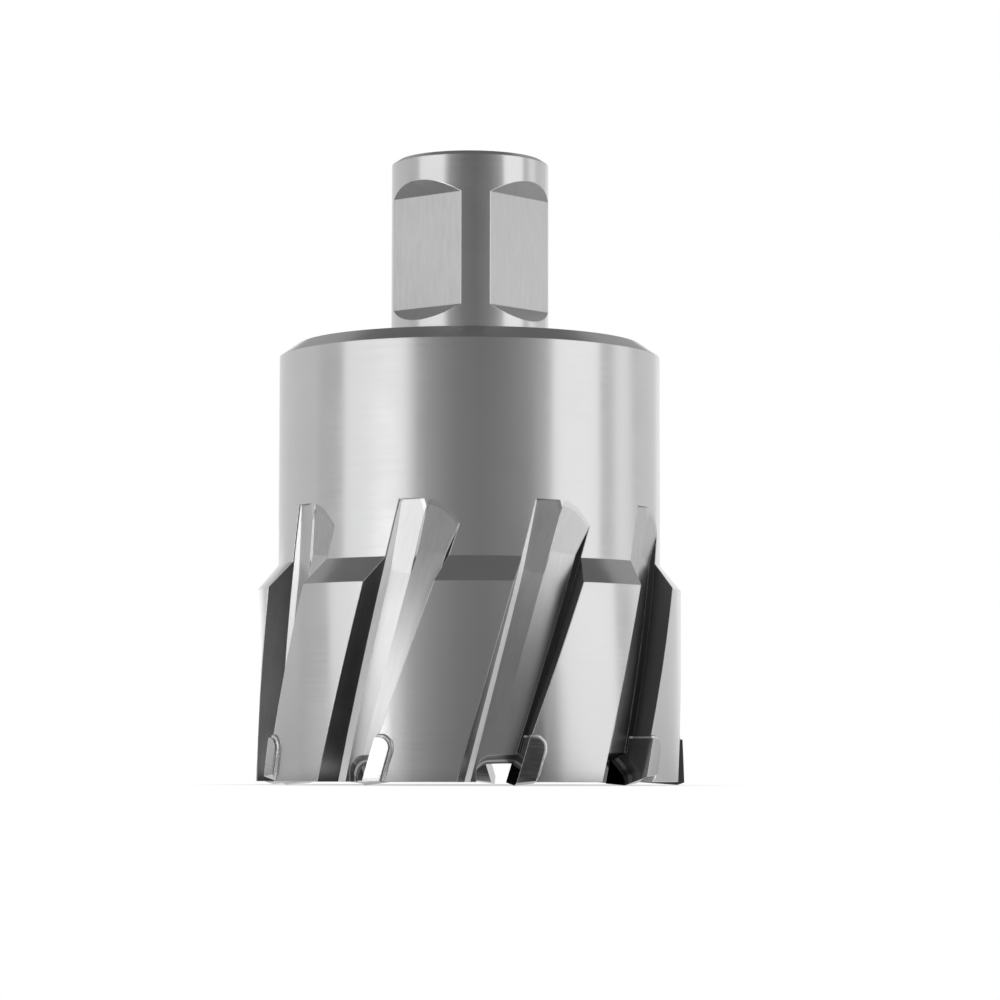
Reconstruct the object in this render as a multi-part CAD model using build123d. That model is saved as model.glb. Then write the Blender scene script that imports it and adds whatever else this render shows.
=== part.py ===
from build123d import *
import os
from math import asin, cos, degrees, radians, sin, sqrt, tan

# A carbide-tipped annular cutter: a hollow core drill for a magnetic drilling machine.
# One steel piece makes the shank, the neck and the fluted cup. Nine carbide tips are
# brazed into seats on the leading edges of the nine lands.
# Sizes are in millimetres and angles in degrees.
# The origin lies on the axis, in the plane that the cutting points touch. +Z runs up
# through the shank, and -Y is the front, midway between the two drive flats.
# Angles about the axis are counted from the front towards +X.
# The cutter turns clockwise seen from the shank, so each tip leads its land.

# The ring that the teeth cut
cutting_diameter = 52.0
kerf_width = 5.7

# Shank
shank_diameter = 19.05
shank_length = 22.6
shank_top_chamfer_width = 0.75
shank_top_chamfer_height = 0.5
shank_root_chamfer = 0.4

# Drive flats on the shank
flat_count = 2
flat_spacing = 90.0
flat_distance = 7.85
flat_length = 13.5
flat_above_neck = 4.1
flat_runout_angle = 45.0

# Neck, with the height of its top face above the teeth
neck_step = 2.5
neck_height = 52.9
neck_chamfer_width = 2.15
neck_chamfer_height = 1.5

# Cup, whose wall is thinner than the cut on both sides, so that only the tips rub
side_clearance = 0.5
core_clearance = 0.3
step_height = 23.25
step_slope = 50.1
core_depth = 38.5
core_corner_chamfer = 1.5
rim_height = 0.4

# Pilot bore
pilot_bore_diameter = 8.0
pilot_bore_chamfer = 0.5

# Teeth
tooth_count = 9
first_tooth_angle = 7.7
tip_thickness = 2.1
tip_height = 5.5
tip_lean = 17.0
tip_relief = 6.5
tip_corner_radius = 1.2
tip_margin_width = 0.6
tip_side_relief = 8.0
seam_thickness = 0.2

# Cutting points: two teeth in three cut near the rim, and the third cuts further in.
teeth_per_set = 3
inner_tooth_in_set = 1
outer_point_inset = 0.85
inner_point_inset = 2.9
point_outer_slope = 18.5
point_inner_slope = 4.0

# Gullets in front of the tips, with their heights at the floor of the flute
gullet_width = 3.7
gullet_height = 3.5
tall_gullet_height = 3.8
gullet_roof_slope = 30.0
gullet_corner_radius = 1.6

# Flutes, each milled in two passes of unlike helix, so that it widens upwards
flute_depth = 3.2
flute_arc = 15.3
flute_top = 32.8
flute_wall_slant = 22.0
flute_root_chamfer = 0.5
main_helix = 16.0
main_trail_width = 1.6
main_lead_width = 2.4
second_helix = 20.5
second_trail_width = 2.0
second_lead_width = 2.4

# Run-outs of the two passes on the neck: the slope of the floor, how far it is turned back
# towards the trailing side, and how far above the flutes' top it would meet the neck
main_runout_slope = 2.9
main_runout_turn = 6.0
main_runout_rise = 5.5
second_runout_slope = 6.6
second_runout_turn = 6.0
second_runout_rise = 0.0

# How far the leading wall of a flute stands ahead of its tip's face
tip_face_lead = 0.15

# Extra length of cutting solids past the faces that they cut
overcut = 1.0

shank_radius = shank_diameter / 2
cutting_radius = cutting_diameter / 2
tip_inner_radius = cutting_radius - kerf_width
body_radius = cutting_radius - side_clearance
core_radius = tip_inner_radius + core_clearance
neck_radius = body_radius - neck_step
pilot_bore_radius = pilot_bore_diameter / 2
total_height = neck_height + shank_length
flute_floor_radius = body_radius - flute_depth
reach = cutting_radius + overcut
tooth_pitch = 360 / tooth_count


def about_axis(angle):
    """Turn about the axis; 0 faces the front and positive turns towards +X."""
    return Rot(0, 0, angle - 90)


def turned(points):
    """Revolve an outline of (radius, height) points."""
    outline = Polyline(*[(r, 0, z) for r, z in points], close=True)
    return revolve(make_face(outline), Axis.Z)


def turned_blank():
    """The outside of the steel piece before milling."""
    step_top = step_height + (body_radius - neck_radius) * tan(radians(step_slope))
    points = [
        (0, rim_height),
        (body_radius, rim_height),
        (body_radius, step_height),
        (neck_radius, step_top),
        (neck_radius, neck_height - neck_chamfer_height),
        (neck_radius - neck_chamfer_width, neck_height),
        (shank_radius + shank_root_chamfer, neck_height),
        (shank_radius, neck_height + shank_root_chamfer),
        (shank_radius, total_height - shank_top_chamfer_height),
        (shank_radius - shank_top_chamfer_width, total_height),
        (0, total_height),
    ]
    return turned(points)


def turned_hollow():
    """The core cavity and the pilot bore, as one solid to take away."""
    bore_mouth = pilot_bore_radius + pilot_bore_chamfer
    points = [
        (0, rim_height - overcut),
        (core_radius, rim_height - overcut),
        (core_radius, core_depth - core_corner_chamfer),
        (core_radius - core_corner_chamfer, core_depth),
        (bore_mouth, core_depth),
        (pilot_bore_radius, core_depth + pilot_bore_chamfer),
        (pilot_bore_radius, total_height - pilot_bore_chamfer),
        (bore_mouth, total_height),
        (bore_mouth, total_height + overcut),
        (0, total_height + overcut),
    ]
    return turned(points)


def flat_cut():
    """The milled space of one drive flat, facing local +X, with a sloping run-out at each end."""
    depth = shank_radius - flat_distance + overcut
    runout = depth / tan(radians(flat_runout_angle))
    low = neck_height + flat_above_neck
    high = low + flat_length
    side = Polyline(
        (flat_distance, 0, low),
        (flat_distance + depth, 0, low - runout),
        (flat_distance + depth, 0, high + runout),
        (flat_distance, 0, high),
        close=True,
    )
    return extrude(make_face(side), shank_radius, dir=(0, 1, 0), both=True)


def helix_rate(helix):
    """Degrees of turn for each millimetre of height of a groove at this helix angle."""
    return degrees(tan(radians(helix)) / body_radius)


def twisted(section, helix, low, high):
    """Extrude a section from low to high while it turns as a groove of this helix angle does."""
    rate = helix_rate(helix)
    length = high - low
    bar = Solid.extrude_linear_with_rotation(section, (0, 0, 0), (0, 0, length), rate * length)
    return Rot(0, 0, rate * low) * Pos(0, 0, low) * bar


def runout(slope, turn, rise, helix):
    """Steel that stays under the sloping floor at the upper end of a pass with this helix angle."""
    depth = neck_radius - flute_floor_radius + overcut
    meeting = flute_top + rise
    foot = meeting - depth / tan(radians(slope))
    side = Polyline(
        (neck_radius - depth, 0, foot),
        (neck_radius, 0, meeting),
        (neck_radius - depth, 0, meeting),
        close=True,
    )
    angle = helix_rate(helix) * flute_top - turn
    return Rot(0, 0, angle) * extrude(make_face(side), neck_radius, dir=(0, 1, 0), both=True)


def flute_pass(trail_width, lead_width, trail_slant, helix):
    """One milling pass: a twisted bar with a flat floor square to the radius at its foot."""
    flare = (reach - flute_floor_radius) * tan(radians(trail_slant))
    points = [
        (flute_floor_radius, -trail_width),
        (reach, -trail_width - flare),
        (reach, lead_width),
        (flute_floor_radius, lead_width),
    ]
    section = make_face(Polyline(*points, close=True))
    roots = section.vertices().sort_by(Axis.X)[:2]
    section = chamfer(roots, flute_root_chamfer)
    return twisted(section.faces()[0], helix, rim_height - overcut, flute_top)


def flute_cut():
    """Both passes of the flute ahead of the tooth whose cutting corner lies on local +X."""
    edge_x = sqrt(body_radius**2 - main_trail_width**2)
    edge_offset = main_trail_width + (edge_x - flute_floor_radius) * tan(radians(flute_wall_slant))
    main_foot = degrees(asin(edge_offset / body_radius)) - flute_arc
    wall_angle = -degrees(tip_face_lead / body_radius)
    second_foot = wall_angle - degrees(asin(second_lead_width / body_radius))
    main = flute_pass(main_trail_width, main_lead_width, flute_wall_slant, main_helix)
    main -= runout(main_runout_slope, main_runout_turn, main_runout_rise, main_helix)
    second = flute_pass(second_trail_width, second_lead_width, 0, second_helix)
    second -= runout(second_runout_slope, second_runout_turn, second_runout_rise, second_helix)
    return Rot(0, 0, main_foot) * main + Rot(0, 0, second_foot) * second


def tip_prism(margin):
    """The side outline of a tip, grown by margin at its back and top, cut through the whole wall."""
    slope = tan(radians(tip_lean))
    top = tip_height + margin
    back = (tip_thickness + margin) / cos(radians(tip_lean))
    outline = Polyline(
        (0, -overcut * slope, -overcut),
        (0, top * slope, top),
        (0, top * slope + back, top),
        (0, back - overcut * slope, -overcut),
        close=True,
    )
    face = make_face(outline)
    corner = face.vertices().sort_by_distance((0, top * slope + back, top))[0]
    return extrude(fillet(corner, tip_corner_radius + margin), reach, dir=(1, 0, 0))


def gullet_cut(height):
    """The arched window through the wall ahead of a tip and into its seat. Its roof slopes down inwards."""
    slope = tan(radians(tip_lean))
    roof = radians(gullet_roof_slope)
    inside_seat = tip_thickness / 2
    low = -overcut - flute_depth * tan(roof)
    outline = Polyline(
        (0, inside_seat + low * slope, low),
        (0, inside_seat + height * slope, height),
        (0, -gullet_width, height),
        (0, -gullet_width, low),
        close=True,
    )
    face = make_face(outline)
    corner = face.vertices().sort_by_distance((0, -gullet_width, height))[0]
    bar = extrude(fillet(corner, gullet_corner_radius), reach / cos(roof), dir=(cos(roof), 0, sin(roof)))
    return Pos(0, 0, -flute_floor_radius * tan(roof)) * bar


def ring(inner, outer, low, high):
    """A plain ring about the axis."""
    return Pos(0, 0, low) * extrude(Circle(outer) - Circle(inner), high - low)


def side_relief():
    """The space ground off the outside of a tip behind its narrow margin."""
    start = degrees(tip_margin_width / cutting_radius)
    width = 2 * tip_thickness
    square = Pos(width / 2, width / 2) * Rectangle(width, width)
    face = Pos(cutting_radius, 0) * Rot(0, 0, tip_side_relief) * square
    return Rot(0, 0, start) * twisted(face.faces()[0], tip_lean, -overcut, tip_height + overcut)


def carbide_tip(point_inset):
    """One tip: a leaning block ground to a point, with relief under it and outside it."""
    point_radius = cutting_radius - point_inset
    outer_rise = (reach - point_radius) * tan(radians(point_outer_slope))
    inner_start = tip_inner_radius - overcut
    inner_rise = (point_radius - inner_start) * tan(radians(point_inner_slope))
    roof = tip_height + overcut
    point_side = Polyline(
        (inner_start, 0, inner_rise),
        (point_radius, 0, 0),
        (reach, 0, outer_rise),
        (reach, 0, roof),
        (inner_start, 0, roof),
        close=True,
    )
    relief = radians(tip_relief)
    along = (0, cos(relief), sin(relief))
    ground = extrude(make_face(point_side), 3 * tip_thickness, dir=along, both=True)
    blank = tip_prism(0) & ring(tip_inner_radius, cutting_radius, -overcut, roof)
    return (blank & ground) - side_relief()


def at_tooth(index):
    """From the frame of a tooth, with its cutting corner on local +X, to its place on the rim."""
    return about_axis(first_tooth_angle + index * tooth_pitch)


def is_inner_tooth(index):
    """Whether this tooth cuts the inner part of the ring."""
    return index % teeth_per_set == inner_tooth_in_set


def drive_flats():
    """The spaces of all the drive flats, spread evenly about the front."""
    first = -(flat_count - 1) / 2 * flat_spacing
    return [about_axis(first + i * flat_spacing) * flat_cut() for i in range(flat_count)]


os.makedirs("parts", exist_ok=True)

fluted = turned_blank() - turned_hollow() - drive_flats()
fluted -= [at_tooth(i) * flute_cut() for i in range(tooth_count)]

# The seam fills what is left between a tip and its seat in the wall.
seat = tip_prism(seam_thickness)
seam = (at_tooth(0).inverse() * fluted & seat) - tip_prism(0)

cutter_body = fluted - [at_tooth(i) * seat for i in range(tooth_count)]
for i in range(tooth_count):
    window_height = tall_gullet_height if is_inner_tooth(i) else gullet_height
    cutter_body -= at_tooth(i) * gullet_cut(window_height)
export_step(cutter_body, "parts/cutter_body.step")

outer_tip = carbide_tip(outer_point_inset)
inner_tip = carbide_tip(inner_point_inset)
for i in range(tooth_count):
    tip = inner_tip if is_inner_tooth(i) else outer_tip
    export_step(at_tooth(i) * tip, f"parts/carbide_tip_{i + 1}.step")
    export_step(at_tooth(i) * seam, f"parts/braze_seam_{i + 1}.step")
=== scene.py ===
from math import atan2, cos, pi, radians, sin, sqrt, tan

import bpy
from bpy.props import FloatProperty, FloatVectorProperty, IntProperty, PointerProperty
from mathutils import Matrix, Vector


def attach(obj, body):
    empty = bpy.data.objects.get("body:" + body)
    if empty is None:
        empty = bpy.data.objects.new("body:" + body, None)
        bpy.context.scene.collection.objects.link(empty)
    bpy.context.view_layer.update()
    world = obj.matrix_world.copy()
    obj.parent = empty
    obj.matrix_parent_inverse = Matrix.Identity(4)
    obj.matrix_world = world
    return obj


# The looks of a carbide-tipped annular cutter: ground and milled tool steel, ground carbide
# and silver braze, in a small white studio. Lengths are in metres. Angles about the axis are
# counted from the front, which is -Y, towards +X.

bl_info = {
    "name": "Annular cutter finish",
    "version": (1, 0, 0),
    "blender": (4, 5, 0),
    "location": "3D View > Sidebar > Cutter",
    "description": "Finishes a carbide-tipped annular cutter and sets up its studio",
    "category": "Object",
}

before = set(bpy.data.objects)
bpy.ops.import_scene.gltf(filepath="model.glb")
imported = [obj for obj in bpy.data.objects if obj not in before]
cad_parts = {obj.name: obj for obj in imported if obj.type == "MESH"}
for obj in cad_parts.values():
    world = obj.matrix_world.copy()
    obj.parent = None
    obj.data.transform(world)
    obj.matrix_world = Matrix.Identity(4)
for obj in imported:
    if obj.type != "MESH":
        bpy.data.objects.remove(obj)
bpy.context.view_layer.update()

MM = 0.001
BODY = "cutter_body"
TIPS = sorted(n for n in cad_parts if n.startswith("carbide_tip_"))
SEAMS = sorted(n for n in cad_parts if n.startswith("braze_seam_"))


def length(name, description, default):
    """A length that a user may set, in metres."""
    return FloatProperty(
        name=name, description=description, default=default, min=0.0,
        subtype="DISTANCE", unit="LENGTH", precision=5,
    )


def angle(name, description, degrees_):
    """An angle that a user may set."""
    return FloatProperty(
        name=name, description=description, default=radians(degrees_), subtype="ANGLE", unit="ROTATION"
    )


def share(name, description, default, most=1.0):
    """A plain number from nothing to most."""
    return FloatProperty(name=name, description=description, default=default, min=0.0, max=most)


def colour(name, description, default):
    """A colour that a user may set."""
    return FloatVectorProperty(
        name=name, description=description, default=default, subtype="COLOR", size=3, min=0.0, max=1.0
    )


class CutterShape(bpy.types.PropertyGroup):
    """Where the finishes change on the cutter. These follow the modelled shape."""

    land_radius: length("Land radius", "Outside radius of the cup's lands", 25.5 * MM)
    neck_radius: length("Neck radius", "Outside radius of the neck", 23.0 * MM)
    step_low: length("Step foot", "Height at which the lands end and the step begins", 23.25 * MM)
    step_high: length("Step top", "Height at which the step meets the neck", 26.25 * MM)
    flute_top: length("Flute top", "Height at which the flutes end", 33.2 * MM)
    cup_wall: length("Core radius", "Inside radius of the cup", 20.6 * MM)
    core_margin: length("Core margin", "Distance from the core at which the flutes' finish begins", 0.8 * MM)
    cup_skin: length("Cup skin", "Depth below the ground outside at which a flute begins", 0.08 * MM)
    core_top: length("Core top", "Height of the roof of the cup's core", 39.0 * MM)
    gullet_top: length("Gullet top", "Height that the gullets end below", 4.6 * MM)
    gullet_fade: length("Gullet fade", "Height over which the gullets' finish ends", 0.3 * MM)
    shank_radius: length("Shank radius", "Outside radius of the shank", 9.525 * MM)
    shank_skin: length("Shank skin", "Depth below the ground shank at which a flat begins", 0.06 * MM)
    flat_low: length("Flats low", "Lowest point of the drive flats' run-outs", 54.5 * MM)
    flat_high: length("Flats high", "Highest point of the drive flats' run-outs", 73.0 * MM)
    bore_radius: length("Bore radius", "Radius of the pilot bore with its chamfer", 4.6 * MM)
    helix: angle("Flute helix", "Lean of the flutes against the axis", 18.0)


class SteelFinish(bpy.types.PropertyGroup):
    """Finish of the hardened and ground tool steel, with painted shade in the flutes and the cup, and
    painted highlights on the root chamfers and the edges.
    """

    ground_colour: colour("Ground steel", "Colour of the ground outside", (0.56, 0.56, 0.565))
    milled_colour: colour("Milled steel", "Colour of the milled flutes and flats", (0.55, 0.55, 0.55))
    # Painted shade: the leading walls are set dark to stand for the shade that falls on them in the flutes.
    leading_wall_shade: colour("Leading walls", "Colour of the leading walls of the flutes", (0.17, 0.17, 0.17))
    # Painted shade: the trailing walls are set dark to stand for the shade in the flutes.
    trailing_wall_shade: colour("Trailing walls", "Colour of the trailing walls of the flutes", (0.24, 0.24, 0.24))
    # Painted highlight: the root chamfers are set pale to stand for the light line along each flute's root.
    chamfer_highlight: colour("Root chamfers", "Colour of the satin chamfers at the roots", (0.9, 0.9, 0.9))
    # Painted shade: the inside of the cup is set dark to stand for the shade within it.
    inside_shade: colour("Inside", "Colour of the inside of the cup", (0.16, 0.16, 0.16))
    # Painted shade: the gullets' walls are set darker to stand for the shade in the notches.
    gullet_shade: share("Gullets", "Brightness of the gullets' walls as a share of the flutes'", 0.35)
    # Painted shade: the leading walls turn near black along their roots.
    root_shade: share("Wall roots", "How dark the leading walls are at their roots", 0.8)
    ground_roughness: share("Ground roughness", "Roughness of the ground outside", 0.2)
    milled_roughness: share("Milled roughness", "Roughness of the milled flutes and flats", 0.34)
    wall_roughness: share("Wall roughness", "How much rougher the leading walls are", 0.15)
    chamfer_roughness: share("Chamfer roughness", "How much rougher the root chamfers are", 0.2)
    # Part of the root chamfers' painted highlight: less metal lets them catch the room's light.
    chamfer_metal: share("Chamfer metal", "How metallic the root chamfers look", 0.5)
    brushing: share("Brushing", "How far reflections are drawn out across the grinding lines", 0.5)
    line_depth: length("Line depth", "Depth of the grinding lines", 0.002 * MM)
    ring_contrast: share("Ring contrast", "How much the grinding rings vary the colour", 0.018)
    streak_contrast: share("Streak contrast", "How much the milling streaks vary the colour", 0.05)
    cloud_contrast: share("Cloud contrast", "How much wide clouds vary the colour", 0.025)
    # The edges are lightened: partly wear, partly a painted highlight.
    edge_width: length("Edge width", "Width of the worn edges", 0.14 * MM)
    wear_and_highlight_gain: share("Edge wear", "How much lighter the worn edges are", 0.3)
    wear_and_highlight_level: share("Edge level", "Brightness that a fully worn edge would have", 0.95)
    # Painted shade, not dirt: the steel is darkened where ambient occlusion finds it deep in the flutes and
    # along their roots.
    hollow_shade: share("Soiling", "How dark the steel is deep in the flutes", 0.4)
    corner_shade: share("Corner soiling", "How dark the steel is along the roots of the flutes", 0.85)
    shade_reach: length("Soiling reach", "How near walls must be to make a hollow", 4.0 * MM)


class TipFinish(bpy.types.PropertyGroup):
    """Finish of the carbide tips, with painted shade on the cutting faces and a painted highlight on the
    honed edges.
    """

    colour: colour("Carbide", "Colour of the ground carbide", (0.45, 0.45, 0.455))
    # Painted shade, not wear from use: the cutting faces are set dark to stand for the shaded inside of the
    # cup that they reflect.
    face_shade: colour("Cutting face", "Colour of the leading faces, darker with use", (0.17, 0.17, 0.175))
    roughness: share("Roughness", "Roughness of the ground carbide", 0.1)
    line_depth: length("Line depth", "Depth of the wheel's marks", 0.001 * MM)
    # The honed edges are lightened: partly the honing, partly a painted highlight.
    edge_width: length("Edge width", "Width of the honed edges", 0.08 * MM)
    wear_and_highlight_gain: share("Edge wear", "How much lighter the honed edges are", 0.35)
    wear_and_highlight_level: share("Edge level", "Brightness that a fully honed edge would have", 0.9)


class BrazeFinish(bpy.types.PropertyGroup):
    """Size and finish of the silver braze."""

    colour: colour("Braze", "Colour of the silver braze", (0.8, 0.797, 0.79))
    roughness: share("Roughness", "Roughness of the braze", 0.4)
    lump_depth: length("Lump depth", "Depth of the small lumps", 0.05 * MM)
    bead_radius: length("Bead radius", "Half the width of the bead along the seam", 0.3 * MM)
    swell: share("Swell", "How much the bead's width wavers", 0.12)
    end_share: share("Bead ends", "Width of the bead's ends as a share of its own", 0.45)


class ToothPlan(bpy.types.PropertyGroup):
    """Where the tips sit, for the beads of braze beside them."""

    count: IntProperty(name="Teeth", description="Number of teeth on the rim", default=len(TIPS), min=1)
    first_angle: angle("First tooth", "Angle of the first tooth from the front", 7.7)
    thickness: length("Tip thickness", "Thickness of a tip along the rim", 2.1 * MM)
    height: length("Tip height", "Height of a tip", 5.5 * MM)
    lean: angle("Tip lean", "Lean of a tip against the axis", 17.0)
    corner: length("Tip corner", "Radius of the upper back corner of a tip", 1.2 * MM)
    seam: length("Seam", "Thickness of the braze between a tip and its seat", 0.2 * MM)
    bead_foot: length("Bead foot", "Height at which the bead begins", 0.6 * MM)
    bead_end: length("Bead end", "Distance of the bead's end from the flute", 0.1 * MM)


class Studio(bpy.types.PropertyGroup):
    """Floor, light and screens. Bearings are counted from the camera's side, to the right."""

    reach: length("Screen distance", "Distance of the lamps and screens from the axis", 0.62)
    screen_height: length("Screen height", "Height of the lamps and screens", 0.64)
    left_start: angle("Left lamp start", "Bearing of the left lamp's outer edge", -79.5)
    left_end: angle("Left lamp end", "Bearing of the left lamp's inner edge", -37.0)
    right_start: angle("Right lamp start", "Bearing of the right lamp's inner edge", 49.5)
    right_end: angle("Right lamp end", "Bearing of the right lamp's outer edge", 83.0)
    left_level: share("Left lamp", "Brightness of the left lamp beyond the room's white", 0.27, 5.0)
    right_level: share("Right lamp", "Brightness of the right lamp beyond the room's white", 0.38, 5.0)
    ceiling_level: share("Ceiling", "Brightness of the ceiling screen", 0.18)
    cornice_level: share("Cornice", "Brightness of the upper part of the back wall", 0.42)
    cornice_foot: length("Cornice foot", "Height of the foot of the cornice", 0.22)
    front_foot: length("Front foot", "Height of the foot of the front screen", 0.055)
    front_split: length("Front split", "Height at which the front screen turns darker", 0.13)
    middle_share: share("Front middle", "Brightness of its middle as a share of the foot's", 1.13, 2.0)
    front_share: share("Front top", "Brightness of its top as a share of the foot's", 0.76)
    skirt_share: share("Skirt", "Brightness of the front floor screen as a share of the foot's", 0.7)
    skirt_start: length("Skirt start", "Distance from the axis at which the floor screens begin", 0.0265)
    skirt_height: length("Skirt height", "Height of the floor screens", 0.0001)
    rim_card: length("Rim card", "Height of the light card behind, on the left", 0.055)
    light_card: length("Light card", "Height of the light card that a tip reflects", 0.012)
    dark_card: length("Dark card", "Height of the dark card that a tip reflects", 0.022)
    card_start: length("Card start", "Distance from the axis at which those two cards begin", 0.0365)
    near_card: length("Near card", "Distance from the axis at which the card by the cup ends", 0.06)
    room_level: share("Room", "Brightness of the room's own light", 1.0)
    floor_size: length("Floor size", "Radius of the floor", 3.0)
    floor_drop: length("Floor drop", "Distance of the floor below the cutting points", 0.00002)
    floor_grey: share("Floor", "Brightness of the floor itself", 0.93)
    shadow_start: length("Shadow start", "Distance from the axis at which the shadow begins to fade", 0.026)
    shadow_end: length("Shadow end", "Distance from the axis at which the shadow has faded", 0.036)
    shadow_white: share("Shadow white", "How far the background's white covers the shadow at its start", 0.6)


class MainCamera(bpy.types.PropertyGroup):
    """The camera. It stands low, so that it looks up at the cutter a little."""

    distance: length("Distance", "Distance from the axis", 0.424)
    bearing: angle("Bearing", "Angle from the front", -4.1)
    height: length("Height", "Height above the floor", 0.002)
    focal_length: FloatProperty(
        name="Focal length", description="Focal length in millimetres", default=126.6, min=1.0, unit="CAMERA"
    )
    tilt: angle("Tilt", "How far the camera looks up", 4.36)
    turn: angle("Turn", "How far the camera looks to the right of the axis", 0.5)
    roll: angle("Roll", "Roll about the line of sight", 0.1)


# How far a face of a flute looks along the way round, where -1 is a leading wall's way: each mask goes
# from 0 to 1 between its two values, or is 1 between them on the chamfers at the roots
# These masks place painted shade on the flutes' walls, their roots and the tips' cutting faces, and a
# painted highlight on the root chamfers.
LEADING_WALL = (-0.3, -0.6)
WALL_ROOT = (-0.95, -0.8)
TRAILING_WALL = (0.75, 0.85)
ROOT_CHAMFER = (0.45, 0.8)
CUTTING_FACE = (-0.5, -0.8)

# How far it looks away from the axis: a root chamfer more than this, and a gullet's wall less
CHAMFER_OUTWARD = 0.5
GULLET_OUTWARD = 0.2

# How open a place is, from 1 on a flat face to 0, over which painted shade darkens it: in the flutes, and at
# their roots
HOLLOW_SPAN = (0.75, 0.3)
CORNER_SPAN = (0.72, 0.49)

# How far a rounded normal turns from its face's own, from an open face to an edge with wear and a painted
# highlight
EDGE_SPAN = (0.99, 0.86)
EDGE_SAMPLES = 6
HOLLOW_SAMPLES = 8

# What a noise seldom goes beyond
NOISE_SPAN = (0.3, 0.7)


class Recipe:
    """The nodes of a material, or of the world, built up from nothing."""

    def __init__(self, owner):
        self.owner = owner
        owner.use_nodes = True
        self.tree = owner.node_tree
        self.tree.nodes.clear()

    def node(self, kind, **settings):
        made = self.tree.nodes.new(kind)
        for key, value in settings.items():
            setattr(made, key, value)
        return made

    def put(self, socket, value):
        """Link a socket to an output, or give it a plain value."""
        if isinstance(value, bpy.types.NodeSocket):
            self.tree.links.new(value, socket)
        else:
            socket.default_value = value

    def math(self, operation, *values):
        made = self.node("ShaderNodeMath", operation=operation)
        for socket, value in zip(made.inputs, values):
            self.put(socket, value)
        return made.outputs[0]

    def product(self, first, *others):
        """All the values multiplied."""
        for other in others:
            first = self.math("MULTIPLY", first, other)
        return first

    def vector(self, operation, *values):
        made = self.node("ShaderNodeVectorMath", operation=operation)
        for socket, value in zip(made.inputs, values):
            self.put(socket, value)
        return made.outputs["Value"] if operation in ("LENGTH", "DOT_PRODUCT") else made.outputs[0]

    def times(self, vector, factor):
        made = self.node("ShaderNodeVectorMath", operation="SCALE")
        self.put(made.inputs[0], vector)
        self.put(made.inputs["Scale"], factor)
        return made.outputs[0]

    def turned(self, vector, by):
        """A vector turned about the axis."""
        made = self.node("ShaderNodeVectorRotate", rotation_type="Z_AXIS")
        self.put(made.inputs["Vector"], vector)
        self.put(made.inputs["Angle"], by)
        return made.outputs[0]

    def split(self, vector):
        made = self.node("ShaderNodeSeparateXYZ")
        self.put(made.inputs[0], vector)
        return tuple(made.outputs)

    def join(self, x, y, z):
        made = self.node("ShaderNodeCombineXYZ")
        for socket, value in zip(made.inputs, (x, y, z)):
            self.put(socket, value)
        return made.outputs[0]

    def span(self, value, low, high, to_low=0.0, to_high=1.0):
        """The value carried from one span to another, and held at its ends."""
        made = self.node("ShaderNodeMapRange")
        for socket, v in zip(made.inputs, (value, low, high, to_low, to_high)):
            self.put(socket, v)
        return made.outputs[0]

    def between(self, value, low, high):
        """1 where the value lies between low and high, and otherwise 0."""
        above = self.math("GREATER_THAN", value, low)
        return self.math("MULTIPLY", above, self.math("LESS_THAN", value, high))

    def varied(self, noise, low, high):
        """A noise spread over a span."""
        return self.span(noise, *NOISE_SPAN, low, high)

    def mix(self, factor, a, b):
        """Number a turning to b."""
        made = self.node("ShaderNodeMix", data_type="FLOAT")
        for name, value in (("Factor", factor), ("A", a), ("B", b)):
            self.put(next(s for s in made.inputs if s.name == name and s.enabled), value)
        return next(s for s in made.outputs if s.enabled)

    def blend(self, kind, factor, a, b):
        """Colour a turning to b in the way that kind names."""
        made = self.node("ShaderNodeMix", data_type="RGBA", blend_type=kind)
        for name, value in (("Factor", factor), ("A", a), ("B", b)):
            self.put(next(s for s in made.inputs if s.name == name and s.enabled), value)
        return next(s for s in made.outputs if s.enabled)

    def toned(self, base, tone):
        """A colour made lighter or darker by a tone round 1."""
        return self.blend("MULTIPLY", 1.0, base, self.join(tone, tone, tone))

    def noise(self, vector, scale, detail, roughness):
        made = self.node("ShaderNodeTexNoise")
        self.put(made.inputs["Vector"], vector)
        self.put(made.inputs["Scale"], scale)
        self.put(made.inputs["Detail"], detail)
        self.put(made.inputs["Roughness"], roughness)
        return made.outputs[0]

    def place(self):
        """Position in millimetres."""
        return self.times(self.node("ShaderNodeTexCoord").outputs["Object"], 1 / MM)

    def faces(self, x, y):
        """Each face's normal, and the directions round the axis and away from it."""
        normal = self.node("ShaderNodeNewGeometry").outputs["Normal"]
        way_round = self.vector("NORMALIZE", self.join(self.product(y, -1.0), x, 0.0))
        way_out = self.vector("NORMALIZE", self.join(x, y, 0.0))
        return normal, way_round, way_out

    def rounded_normal(self, width):
        """The normal as if every edge were rounded to this width."""
        made = self.node("ShaderNodeBevel", samples=EDGE_SAMPLES)
        made.inputs["Radius"].default_value = width
        return made.outputs[0]

    def edge_wear_and_highlight(self, rounded):
        """1 along edges and 0 on open faces."""
        face = self.node("ShaderNodeNewGeometry").outputs["Normal"]
        return self.span(self.vector("DOT_PRODUCT", rounded, face), *EDGE_SPAN)

    def bump(self, height, depth, normal):
        made = self.node("ShaderNodeBump")
        made.inputs["Strength"].default_value = 1.0
        made.inputs["Distance"].default_value = depth
        self.put(made.inputs["Height"], height)
        self.put(made.inputs["Normal"], normal)
        return made.outputs[0]

    def shader(self, kind, **sockets):
        """A shader with its sockets set. A space in a socket's name is written as an underscore."""
        made = self.node(kind)
        for name, value in sockets.items():
            self.put(made.inputs[name.replace("_", " ")], value)
        return made.outputs[0]

    def either(self, factor, first, second):
        """The first shader turning to the second."""
        made = self.node("ShaderNodeMixShader")
        for socket, value in zip(made.inputs, (factor, first, second)):
            self.put(socket, value)
        return made.outputs[0]

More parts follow.
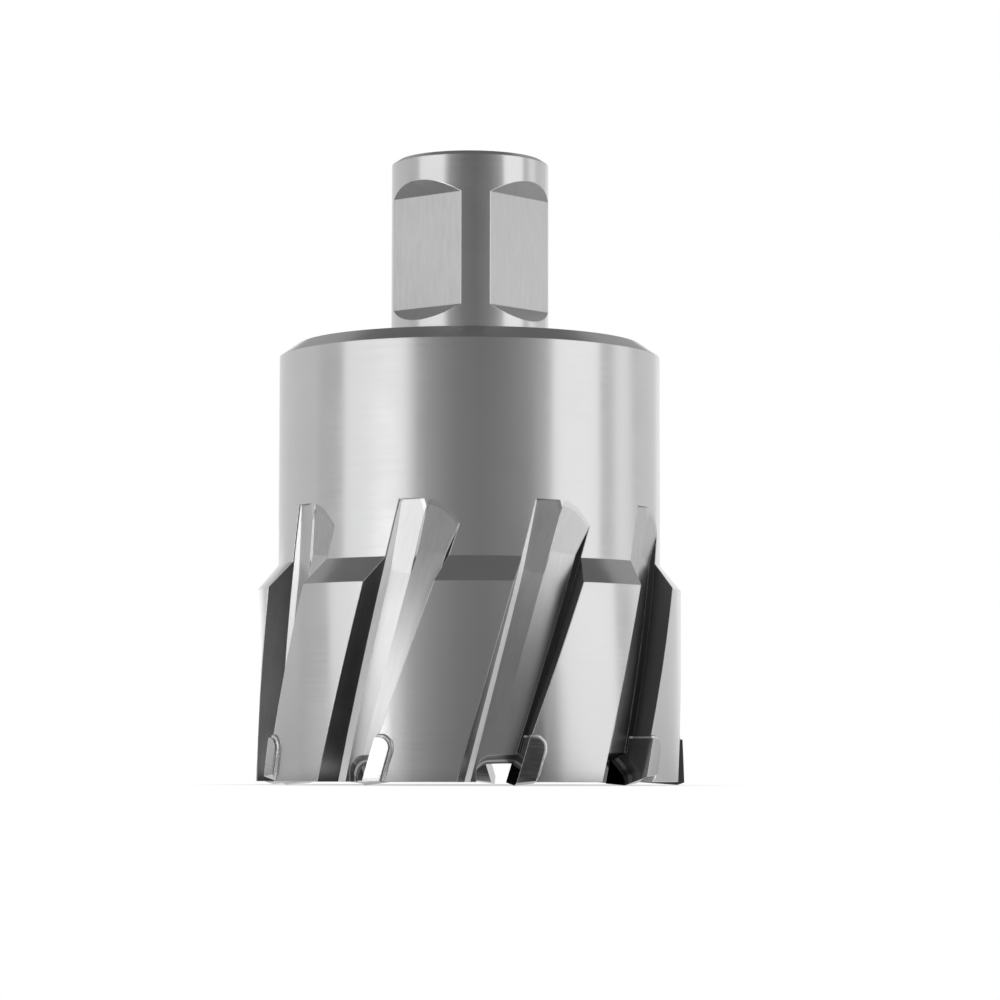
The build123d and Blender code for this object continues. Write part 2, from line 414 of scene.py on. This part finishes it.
    def finish(self, shader, output="ShaderNodeOutputMaterial"):
        """Link the shader to the output, and give back the material or the world."""
        self.put(self.node(output).inputs["Surface"], shader)
        return self.owner

    def shade(self, **sockets):
        """Finish a solid surface."""
        return self.finish(self.shader("ShaderNodeBsdfPrincipled", **sockets))


def material_recipe(name):
    """A new material to be built."""
    return Recipe(bpy.data.materials.new(name))


def rgb(setting):
    """A colour setting as a node's colour."""
    return (*setting, 1.0)


def grey(level):
    """A level of grey as a node's colour."""
    return (level, level, level, 1.0)


def steel_masks(m, place, shape):
    """Which surface of the steel piece is which: masks that are 1 on it and 0 elsewhere."""
    x, y, z = m.split(place)
    radius = m.vector("LENGTH", m.join(x, y, 0.0))
    outside = m.span(
        z, shape.step_low / MM, shape.step_high / MM, shape.land_radius / MM, shape.neck_radius / MM
    )
    core_side = (shape.cup_wall + shape.core_margin) / MM
    in_wall = m.between(radius, core_side, m.math("SUBTRACT", outside, shape.cup_skin / MM))
    flute = m.product(in_wall, m.math("LESS_THAN", z, shape.flute_top / MM))
    by_flats = m.between(z, shape.flat_low / MM, shape.flat_high / MM)
    in_shank = m.between(radius, shape.bore_radius / MM, (shape.shank_radius - shape.shank_skin) / MM)
    flat = m.product(by_flats, in_shank)
    in_core = m.math("LESS_THAN", radius, (shape.cup_wall + shape.core_margin / 2) / MM)
    by_gullets = m.span(z, shape.gullet_top / MM, (shape.gullet_top - shape.gullet_fade) / MM)

    face, way_round, way_out = m.faces(x, y)
    sideways = m.vector("DOT_PRODUCT", face, way_round)
    outward = m.vector("DOT_PRODUCT", face, way_out)
    wall = m.product(flute, m.span(sideways, *LEADING_WALL))
    chamfer = m.product(flute, m.between(sideways, *ROOT_CHAMFER))
    return {
        "flute": flute,
        "flat": flat,
        "milled": m.math("MAXIMUM", flute, flat),
        "wall": wall,
        "wall_root": m.product(wall, m.span(sideways, *WALL_ROOT)),
        "back_wall": m.product(flute, m.span(sideways, *TRAILING_WALL)),
        "chamfer": m.product(chamfer, m.math("GREATER_THAN", outward, CHAMFER_OUTWARD)),
        "gullet": m.product(flute, m.math("LESS_THAN", outward, GULLET_OUTWARD), by_gullets),
        "inside": m.product(in_core, m.math("LESS_THAN", z, shape.core_top / MM)),
    }


def steel_marks(m, place, shape, on):
    """What the tools left: rings round the outside, and streaks along the flutes and down the flats."""
    x, y, z = m.split(place)
    rings_per_mm, ring_drift = 2.4, 0.05
    radius = m.vector("LENGTH", m.join(x, y, 0.0))
    profile = m.product(m.math("ADD", z, radius), rings_per_mm)
    ring_place = m.join(m.product(x, ring_drift), m.product(y, ring_drift), profile)
    rings = m.noise(ring_place, scale=1.0, detail=4.0, roughness=0.7)

    # The helix is unrolled, so that a streak runs on along its flute.
    streak_drift = 0.12
    turn_per_mm = tan(shape.helix) / (shape.land_radius / MM)
    across, outwards, up = m.split(m.turned(place, m.product(z, -turn_per_mm)))
    streak_place = m.join(across, outwards, m.product(up, streak_drift))
    streaks = m.noise(streak_place, scale=2.6, detail=4.0, roughness=0.6)

    flat_drift = 0.15
    flat_place = m.join(x, y, m.product(z, flat_drift))
    down = m.noise(flat_place, scale=2.2, detail=3.0, roughness=0.6)
    return m.mix(on["flat"], m.mix(on["flute"], rings, streaks), down)


def unshaded_share(m, finish, on, wear_and_highlight):
    """How much of the steel's colour the painted shade leaves: 1 outside and along the edges, and less deep
    in the flutes and along their roots.
    """
    hollow = m.node("ShaderNodeAmbientOcclusion", samples=HOLLOW_SAMPLES, only_local=False)
    hollow.inputs["Distance"].default_value = finish.shade_reach
    open_share = hollow.outputs["AO"]
    depth = m.product(m.span(open_share, *HOLLOW_SPAN), finish.hollow_shade)
    corner = m.product(m.span(open_share, *CORNER_SPAN), finish.corner_shade, on["milled"])
    depth = m.product(m.math("MAXIMUM", depth, corner), m.math("SUBTRACT", 1.0, on["chamfer"]))
    return m.math("SUBTRACT", 1.0, m.product(depth, m.math("SUBTRACT", 1.0, wear_and_highlight)))


def steel_material(shape, finish):
    """Ground outside, with fine rings round it, and milled flutes and flats. The flutes' walls, roots and
    gullets and the cup's inside carry painted shade, and the root chamfers and edges painted highlights.
    """
    m = material_recipe("ground_tool_steel")
    place = m.place()
    x, y, _ = m.split(place)
    on = steel_masks(m, place, shape)
    marks = steel_marks(m, place, shape, on)
    clouds = m.noise(place, scale=0.18, detail=3.0, roughness=0.5)
    rounded = m.rounded_normal(finish.edge_width)
    wear_and_highlight = m.edge_wear_and_highlight(rounded)

    # Apart from the milled steel, this table is painted shade and painted highlight: the walls, their roots,
    # the gullets and the inside are darkened for shade, and the root chamfers lightened for a highlight.
    surfaces = (
        (on["milled"], rgb(finish.milled_colour)),
        (on["wall"], rgb(finish.leading_wall_shade)),
        (m.product(on["wall_root"], finish.root_shade), grey(0.0)),
        (on["back_wall"], rgb(finish.trailing_wall_shade)),
        (on["chamfer"], rgb(finish.chamfer_highlight)),
        (on["gullet"], rgb([c * finish.gullet_shade for c in finish.milled_colour])),
        (on["inside"], rgb(finish.inside_shade)),
    )
    base = rgb(finish.ground_colour)
    for mask, surface_colour in surfaces:
        base = m.blend("MIX", mask, base, surface_colour)
    contrast = m.mix(on["milled"], finish.ring_contrast, finish.streak_contrast)
    tone = m.math("MULTIPLY_ADD", m.varied(marks, -1.0, 1.0), contrast, 1.0)
    tone = m.math("ADD", tone, m.varied(clouds, -finish.cloud_contrast, finish.cloud_contrast))
    # Painted shade: the colour is darkened in the flutes' hollows and along their roots.
    base = m.toned(m.toned(base, tone), unshaded_share(m, finish, on, wear_and_highlight))
    # The edges are lightened, partly for wear and partly as a painted highlight.
    base = m.blend("MIX", m.product(wear_and_highlight, finish.wear_and_highlight_gain), base, grey(finish.wear_and_highlight_level))

    roughness = m.mix(on["milled"], finish.ground_roughness, finish.milled_roughness)
    roughness = m.math("MULTIPLY_ADD", on["wall"], finish.wall_roughness, roughness)
    roughness = m.math("MULTIPLY_ADD", on["chamfer"], finish.chamfer_roughness, roughness)
    cloud_roughness, mark_roughness = (-0.03, 0.03), (-0.02, 0.02)
    roughness = m.math("ADD", roughness, m.varied(clouds, *cloud_roughness))
    roughness = m.math("ADD", roughness, m.varied(marks, *mark_roughness))
    # The root chamfers are half metallic so that they catch the room's light, as part of their painted
    # highlight.
    metal = m.mix(on["chamfer"], 1.0, finish.chamfer_metal)
    normal = m.bump(marks, finish.line_depth, rounded)

    # Reflections are drawn out along the profile, across the rings.
    face, way_round, _ = m.faces(x, y)
    along_profile = m.vector("NORMALIZE", m.vector("CROSS_PRODUCT", face, way_round))
    return m.shade(
        Base_Color=base, Metallic=metal, Roughness=roughness, Anisotropic=finish.brushing, Normal=normal,
        Tangent=along_profile,
    )


def carbide_material(finish):
    """Diamond-ground carbide: darker than steel, fine and even, with honed edges lightened partly by the
    honing and partly as a painted highlight, and cutting faces darkened as painted shade.
    """
    m = material_recipe("ground_carbide")
    place = m.place()
    x, y, z = m.split(place)
    lines_per_mm, line_drift = 7.0, 0.3
    line_place = m.join(m.product(x, line_drift), m.product(y, line_drift), m.product(z, lines_per_mm))
    marks = m.noise(line_place, scale=1.0, detail=3.0, roughness=0.55)
    grain = m.noise(place, scale=9.0, detail=3.0, roughness=0.6)
    grain_tone, mark_tone, mark_roughness = (0.94, 1.04), (-0.04, 0.04), (-0.03, 0.04)
    rounded = m.rounded_normal(finish.edge_width)
    wear_and_highlight = m.edge_wear_and_highlight(rounded)
    face, way_round, _ = m.faces(x, y)
    # Painted shade: the cutting faces are set dark for the shade they reflect.
    leading = m.span(m.vector("DOT_PRODUCT", face, way_round), *CUTTING_FACE)
    base = m.blend("MIX", leading, rgb(finish.colour), rgb(finish.face_shade))
    base = m.toned(base, m.math("ADD", m.varied(grain, *grain_tone), m.varied(marks, *mark_tone)))
    # The honed edges are lightened, partly for honing and partly as a painted highlight.
    base = m.blend("MIX", m.product(wear_and_highlight, finish.wear_and_highlight_gain), base, grey(finish.wear_and_highlight_level))
    roughness = m.math("ADD", finish.roughness, m.varied(marks, *mark_roughness))
    normal = m.bump(marks, finish.line_depth, rounded)
    return m.shade(Base_Color=base, Metallic=1.0, Roughness=roughness, Normal=normal)


def braze_material(finish):
    """Silver braze as it froze: pale, a little lumpy, dulled in spots."""
    m = material_recipe("silver_braze")
    place = m.place()
    lumps = m.noise(place, scale=2.5, detail=3.0, roughness=0.6)
    spots = m.noise(place, scale=7.0, detail=2.0, roughness=0.5)
    spot_span, spot_tone, spot_roughness = (0.35, 0.7), (0.8, 1.05), (0.08, -0.08)
    base = m.toned(rgb(finish.colour), m.span(spots, *spot_span, *spot_tone))
    roughness = m.math("ADD", finish.roughness, m.varied(spots, *spot_roughness))
    normal = m.bump(lumps, finish.lump_depth, m.node("ShaderNodeNewGeometry").outputs["Normal"])
    return m.shade(Base_Color=base, Metallic=1.0, Roughness=roughness, Normal=normal)


def dress(names, material):
    """Give CAD nodes their finished material."""
    for name in names:
        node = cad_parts[name]
        for index in range(len(node.material_slots)):
            node.material_slots[index].material = material
        if not node.material_slots:
            raise RuntimeError(f"{name} has no material slot")


def deselect():
    """Leave nothing selected and no object being edited."""
    if bpy.context.object and bpy.context.object.mode != "OBJECT":
        bpy.ops.object.mode_set(mode="OBJECT")
    bpy.ops.object.select_all(action="DESELECT")


def bead_points(teeth, land_radius):
    """The seam's line on the outside of the cup, for a tooth whose cutting corner lies on +X."""
    straight_steps, bend_steps, top_steps = 4, 7, 2
    slope = tan(teeth.lean)
    middle = teeth.seam / 2
    back = (teeth.thickness + middle) / cos(teeth.lean)
    top = teeth.height + middle
    bend = teeth.corner + middle
    corner = Vector((top * slope + back, top))
    upward = Vector((sin(teeth.lean), cos(teeth.lean)))
    turn = pi / 2 + teeth.lean
    leg = bend * tan(turn / 2)
    first = corner - leg * upward
    centre = first + bend * Vector((-cos(teeth.lean), sin(teeth.lean)))
    start = Vector((teeth.bead_foot * slope + back, teeth.bead_foot))
    line = [start.lerp(first, i / straight_steps) for i in range(straight_steps + 1)]
    for i in range(1, bend_steps + 1):
        a = -teeth.lean + turn * i / bend_steps
        line.append(centre + bend * Vector((cos(a), sin(a))))
    end = Vector((top * slope + teeth.bead_end, top))
    line += [line[-1].lerp(end, i / top_steps) for i in range(1, top_steps + 1)]
    return [Vector((sqrt(land_radius**2 - y * y), y, z)) for y, z in line]


def bead_widths(finish, count):
    """The bead's width at each of its points, as a share of its own: it wavers, and its ends are thin."""
    waver = 2.1
    widths = [1 + finish.swell * sin(waver * i) for i in range(count)]
    widths[0] = widths[-1] = finish.end_share
    return widths


def grow_bead(points, widths, radius):
    """A bead of braze: a small round face that is drawn out along the points, turned and scaled."""
    sides, smooth_below = 12, radians(50)
    last = len(points) - 1
    heading = points[1] - points[0]
    deselect()
    bpy.ops.mesh.primitive_circle_add(
        vertices=sides, radius=radius * widths[0], fill_type="NGON", location=points[0],
        rotation=(-atan2(heading.y, heading.z), 0, 0),
    )
    bead = bpy.context.object
    bpy.ops.object.transform_apply(location=True, rotation=True, scale=True)
    bpy.ops.object.mode_set(mode="EDIT")
    bpy.ops.mesh.select_all(action="SELECT")
    for i in range(last):
        step = points[i + 1] - points[i]
        bpy.ops.mesh.extrude_region_move(TRANSFORM_OT_translate={"value": step})
        growth = widths[i + 1] / widths[i]
        bpy.ops.transform.resize(value=(growth, growth, growth), center_override=points[i + 1])
        if i + 1 < last:
            ahead = points[i + 2] - points[i + 1]
            turn = atan2(ahead.z, ahead.y) - atan2(step.z, step.y)
            bpy.ops.transform.rotate(value=-turn, orient_axis="X", center_override=points[i + 1])
    bpy.ops.mesh.select_all(action="SELECT")
    bpy.ops.mesh.normals_make_consistent(inside=False)
    bpy.ops.object.mode_set(mode="OBJECT")
    bpy.ops.object.shade_smooth_by_angle(angle=smooth_below)
    return bead


def turn_about_axis(piece, by):
    """Turn a piece about the axis, in its mesh."""
    piece.rotation_euler.z = by
    bpy.ops.object.transform_apply(location=False, rotation=True, scale=False)


class CUTTER_OT_finish_steel(bpy.types.Operator):
    """Give the steel piece its ground and milled finish"""

    bl_idname = "cutter.finish_steel"
    bl_label = "Finish the steel"

    def execute(self, context):
        scene = context.scene
        dress([BODY], steel_material(scene.cutter_shape, scene.cutter_steel))
        return {"FINISHED"}


class CUTTER_OT_finish_tips(bpy.types.Operator):
    """Give the nine tips their ground carbide finish"""

    bl_idname = "cutter.finish_tips"
    bl_label = "Finish the tips"

    def execute(self, context):
        dress(TIPS, carbide_material(context.scene.cutter_tips))
        return {"FINISHED"}


class CUTTER_OT_finish_braze(bpy.types.Operator):
    """Give the seams their braze finish and run a bead of braze along each"""

    bl_idname = "cutter.finish_braze"
    bl_label = "Finish the braze"

    def execute(self, context):
        scene = context.scene
        finish, teeth = scene.cutter_braze, scene.cutter_teeth
        material = braze_material(finish)
        dress(SEAMS, material)
        points = bead_points(teeth, scene.cutter_shape.land_radius)
        bead = grow_bead(points, bead_widths(finish, len(points)), finish.bead_radius)
        bead.data.materials.append(material)
        turn_about_axis(bead, teeth.first_angle - pi / 2)
        for i in range(teeth.count):
            if i:
                deselect()
                bead.select_set(True)
                context.view_layer.objects.active = bead
                bpy.ops.object.duplicate()
                bead = context.object
                turn_about_axis(bead, 2 * pi / teeth.count)
            bead.name = f"braze_bead_{i + 1}"
            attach(bead, "root")
        return {"FINISHED"}


def bearing_point(bearing, distance, height):
    """A point at a bearing from the camera's side, to the right as the camera sees it."""
    from_front = bpy.context.scene.cutter_camera.bearing + bearing
    return Vector((distance * sin(from_front), -distance * cos(from_front), height))


def facing_axis(bearing):
    """Rotation of something whose own -Z is to look at the axis from a bearing."""
    from_front = bpy.context.scene.cutter_camera.bearing + bearing
    return (pi / 2, 0, from_front)


def soft_lamp(name, start, end, level, studio):
    """A tall soft lamp that fills the bearings from start to end."""
    width = 2 * studio.reach * tan((end - start) / 2)
    middle = (start + end) / 2
    deselect()
    bpy.ops.object.light_add(
        type="AREA", location=bearing_point(middle, studio.reach, studio.screen_height / 2),
        rotation=facing_axis(middle),
    )
    lamp = bpy.context.object
    lamp.name = name
    lamp.data.shape = "RECTANGLE"
    lamp.data.size = width
    lamp.data.size_y = studio.screen_height
    lamp.data.energy = level * pi * width * studio.screen_height


def even_glow(name, level):
    """A glow of one even level."""
    m = material_recipe(name)
    return m.finish(m.shader("ShaderNodeEmission", Color=grey(level)))


def only_in_reflections(made):
    """A screen shapes what the metal reflects, and neither shows nor casts a shadow."""
    made.visible_camera = made.visible_diffuse = made.visible_shadow = False
    made.visible_transmission = made.visible_volume_scatter = False


def scaled(stops, factor):
    """The same stops at a share of their levels."""
    return [(bearing, level * factor) for bearing, level in stops]


def spun_sheet(name, edge, turn):
    """A sheet that an edge through some points makes, as it turns about the axis."""
    steps = 48
    deselect()
    bpy.ops.mesh.primitive_plane_add(size=1.0, location=edge[0])
    bpy.ops.object.transform_apply(location=True, rotation=False, scale=False)
    sheet = bpy.context.object
    sheet.name = name
    bpy.ops.object.mode_set(mode="EDIT")
    bpy.ops.mesh.select_all(action="SELECT")
    bpy.ops.mesh.merge(type="CENTER")
    for here, there in zip(edge, edge[1:]):
        bpy.ops.mesh.extrude_region_move(TRANSFORM_OT_translate={"value": there - here})
    bpy.ops.mesh.select_all(action="SELECT")
    bpy.ops.mesh.spin(steps=steps, angle=-turn, center=(0, 0, 0), axis=(0, 0, 1))
    bpy.ops.object.mode_set(mode="OBJECT")
    return sheet


def glow_by_bearing(name, stops):
    """A glow whose level changes from stop to stop of (bearing, level)."""
    m = material_recipe(name)
    x, y, _ = m.split(m.turned(m.place(), pi / 2 - bpy.context.scene.cutter_camera.bearing))
    start, end = stops[0][0], stops[-1][0]
    ramp = m.node("ShaderNodeValToRGB")
    m.put(ramp.inputs[0], m.span(m.math("ARCTAN2", y, x), start, end))
    elements = ramp.color_ramp.elements
    while len(elements) < len(stops):
        elements.new(0.5)
    for element, (bearing, level) in zip(elements, stops):
        element.position = (bearing - start) / (end - start)
        element.color = grey(level)
    return m.finish(m.shader("ShaderNodeEmission", Color=ramp.outputs["Color"]))


def curved_screen(name, stops, rows):
    """A curved screen through rows of (distance, height). A stop is a bearing in degrees and a level."""
    stops = [(radians(bearing), level) for bearing, level in stops]
    start, end = stops[0][0], stops[-1][0]
    made = spun_sheet(name, [bearing_point(start, *row) for row in rows], end - start)
    made.data.materials.append(glow_by_bearing(name, stops))
    only_in_reflections(made)


# Levels of the screens: each stop is a bearing in degrees and a level, with an even change to the next.
FRONT = (
    (-37, 1.15), (-33, 0.88), (-30, 0.57), (-19, 0.42), (-8, 0.31), (7, 0.27), (20, 0.32), (33, 0.45),
    (49, 0.75),
)
LEFT_SKIRT = ((-180, 0.3), (-95, 0.3), (-84, 0.9), (-37, 0.9))
RIGHT_SKIRT = ((49, 1.2), (83, 1.2), (95, 0.5), (180, 0.4))
LEFT_SCREEN = ((-165, 0.82), (-101, 0.82), (-100, 0.72), (-80, 0.72))
RIGHT_SCREEN = ((83.5, 0.8), (92, 0.8), (98, 1.2), (106, 1.2), (115, 0.87), (150, 0.87))
LEFT_RIM_CARD = ((-180, 1.5), (-150, 1.5), (-146, 0.9))
LEFT_TIP_CARD = ((-57, 3.0), (-40.5, 3.0))
LEFT_NEAR_CARD = ((-80, 0.35), (-15, 0.35))
RIGHT_TIP_CARD = ((22, 0.06), (39.5, 0.06))


def build_screens(studio):
    """Set up what the metal reflects: screens in front, at the sides and on the floor, and small cards."""
    # The screens stand just inside the lamps, the cornices and the rim card inside them, and the tip
    # cards inside those. On the floor the cards lie over the skirts.
    near = studio.reach * 0.98
    nearer, nearest = near * 0.99, near * 0.97
    low, foot = studio.skirt_height, studio.front_foot
    split, top = studio.front_split, studio.screen_height
    upright = ((near, low), (near, top))
    flat = ((studio.skirt_start, low), (near, low))
    rim = ((nearer, low), (nearer, studio.rim_card))
    card = ((studio.card_start, low * 2), (nearest, low * 2))
    by_cup = ((studio.skirt_start, low * 3), (studio.near_card, low * 3))
    high = ((nearer, studio.cornice_foot), (nearer, top))
    cornice = studio.cornice_level
    screens = (
        ("front_screen", FRONT, ((near, low), (near, foot))),
        ("front_middle", scaled(FRONT, studio.middle_share), ((near, foot), (near, split))),
        ("front_top", scaled(FRONT, studio.front_share), ((near, split), (near, top))),
        ("front_skirt", scaled(FRONT, studio.skirt_share), flat),
        ("left_skirt", LEFT_SKIRT, flat),
        ("right_skirt", RIGHT_SKIRT, flat),
        ("left_screen", LEFT_SCREEN, upright),
        ("right_screen", RIGHT_SCREEN, upright),
        ("left_rim_card", LEFT_RIM_CARD, rim),
        ("left_tip_card", LEFT_TIP_CARD, (*card, (nearest, studio.light_card))),
        ("left_near_card", LEFT_NEAR_CARD, by_cup),
        ("right_tip_card", RIGHT_TIP_CARD, (*card, (nearest, studio.dark_card))),
        ("left_cornice", ((-180, cornice), (-100, cornice)), high),
        ("right_cornice", ((97, cornice), (180, cornice)), high),
    )
    for name, stops, rows in screens:
        curved_screen(name, stops, rows)

    deselect()
    bpy.ops.mesh.primitive_circle_add(
        vertices=64, radius=studio.reach * 1.05, fill_type="NGON", location=(0, 0, top)
    )
    ceiling = bpy.context.object
    ceiling.name = "ceiling_screen"
    ceiling.data.materials.append(even_glow("ceiling_screen", studio.ceiling_level))
    only_in_reflections(ceiling)


def seen_rays(m):
    """1 for the camera's rays and for what metal and glass show."""
    rays = m.node("ShaderNodeLightPath").outputs
    camera_or_metal = m.math("MAXIMUM", rays["Is Camera Ray"], rays["Is Glossy Ray"])
    return m.math("MAXIMUM", camera_or_metal, rays["Is Transmission Ray"])


def floor_material(studio):
    """Pale floor that keeps the shadow near the cutter and runs out to the white background."""
    m = material_recipe("pale_floor")
    from_middle = m.vector("LENGTH", m.place())
    white_share = m.span(from_middle, studio.shadow_start / MM, studio.shadow_end / MM, studio.shadow_white)
    plain = m.shader("ShaderNodeBsdfDiffuse", Color=grey(studio.floor_grey))
    white = m.shader("ShaderNodeEmission", Color=grey(1.0))
    return m.finish(m.either(m.product(seen_rays(m), white_share), plain, white))


def lay_floor(studio):
    """Lay the floor just below the cutting points."""
    deselect()
    bpy.ops.mesh.primitive_circle_add(
        vertices=96, radius=studio.floor_size, fill_type="NGON", location=(0, 0, -studio.floor_drop)
    )
    floor = bpy.context.object
    floor.name = "floor"
    floor.data.materials.append(floor_material(studio))


def room_light(level):
    """A white background, and the room's own even light at a plain level."""
    m = Recipe(bpy.data.worlds.new("white_room"))
    light = m.shader("ShaderNodeBackground", Color=grey(1.0), Strength=level)
    seen = m.shader("ShaderNodeBackground", Color=grey(1.0))
    return m.finish(m.either(seen_rays(m), light, seen), "ShaderNodeOutputWorld")


def main_camera(view):
    """The camera, which stands low and looks up at the cutter a little."""
    data = bpy.data.cameras.new("camera")
    camera = bpy.data.objects.new("camera", data)
    bpy.context.scene.collection.objects.link(camera)
    data.lens = view.focal_length
    data.sensor_width = 36.0
    data.clip_start = 0.01
    data.clip_end = 20.0
    spot = Vector((view.distance * sin(view.bearing), -view.distance * cos(view.bearing), view.height))
    aim = Matrix.Rotation(view.bearing - view.turn, 4, "Z") @ Matrix.Rotation(pi / 2 + view.tilt, 4, "X")
    camera.matrix_world = Matrix.Translation(spot) @ aim @ Matrix.Rotation(view.roll, 4, "Z")
    return camera


class CUTTER_OT_build_stage(bpy.types.Operator):
    """Lay the floor, set the lamps, screens and room light, and place the camera"""

    bl_idname = "cutter.build_stage"
    bl_label = "Build the stage"

    def execute(self, context):
        scene = context.scene
        studio = scene.cutter_studio
        soft_lamp("left_lamp", studio.left_start, studio.left_end, studio.left_level, studio)
        soft_lamp("right_lamp", studio.right_start, studio.right_end, studio.right_level, studio)
        build_screens(studio)
        lay_floor(studio)
        scene.world = room_light(studio.room_level)
        scene.view_settings.view_transform = "Standard"
        scene.camera = main_camera(scene.cutter_camera)
        return {"FINISHED"}


class CUTTER_PT_panel(bpy.types.Panel):
    """Lists the cutter's pieces and the stage, each with its settings"""

    bl_idname = "CUTTER_PT_panel"
    bl_label = "Annular cutter"
    bl_space_type = "VIEW_3D"
    bl_region_type = "UI"
    bl_category = "Cutter"

    def draw(self, context):
        for operator, groups in STEPS:
            box = self.layout.box()
            for group in groups:
                settings = getattr(context.scene, group)
                for key in settings.__annotations__:
                    box.prop(settings, key)
            box.operator(operator.bl_idname)


GROUPS = {
    "cutter_shape": CutterShape,
    "cutter_steel": SteelFinish,
    "cutter_tips": TipFinish,
    "cutter_braze": BrazeFinish,
    "cutter_teeth": ToothPlan,
    "cutter_studio": Studio,
    "cutter_camera": MainCamera,
}
STEPS = (
    (CUTTER_OT_finish_steel, ("cutter_shape", "cutter_steel")),
    (CUTTER_OT_finish_tips, ("cutter_tips",)),
    (CUTTER_OT_finish_braze, ("cutter_teeth", "cutter_braze")),
    (CUTTER_OT_build_stage, ("cutter_studio", "cutter_camera")),
)


def register():
    for group in GROUPS.values():
        bpy.utils.register_class(group)
    for operator, _ in STEPS:
        bpy.utils.register_class(operator)
    bpy.utils.register_class(CUTTER_PT_panel)
    for name, group in GROUPS.items():
        setattr(bpy.types.Scene, name, PointerProperty(type=group))


def unregister():
    for name in GROUPS:
        delattr(bpy.types.Scene, name)
    bpy.utils.unregister_class(CUTTER_PT_panel)
    for operator, _ in STEPS:
        bpy.utils.unregister_class(operator)
    for group in GROUPS.values():
        bpy.utils.unregister_class(group)


def main():
    register()
    bpy.ops.cutter.finish_steel()
    bpy.ops.cutter.finish_tips()
    bpy.ops.cutter.finish_braze()
    bpy.ops.cutter.build_stage()


if __name__ == "__main__":
    main()
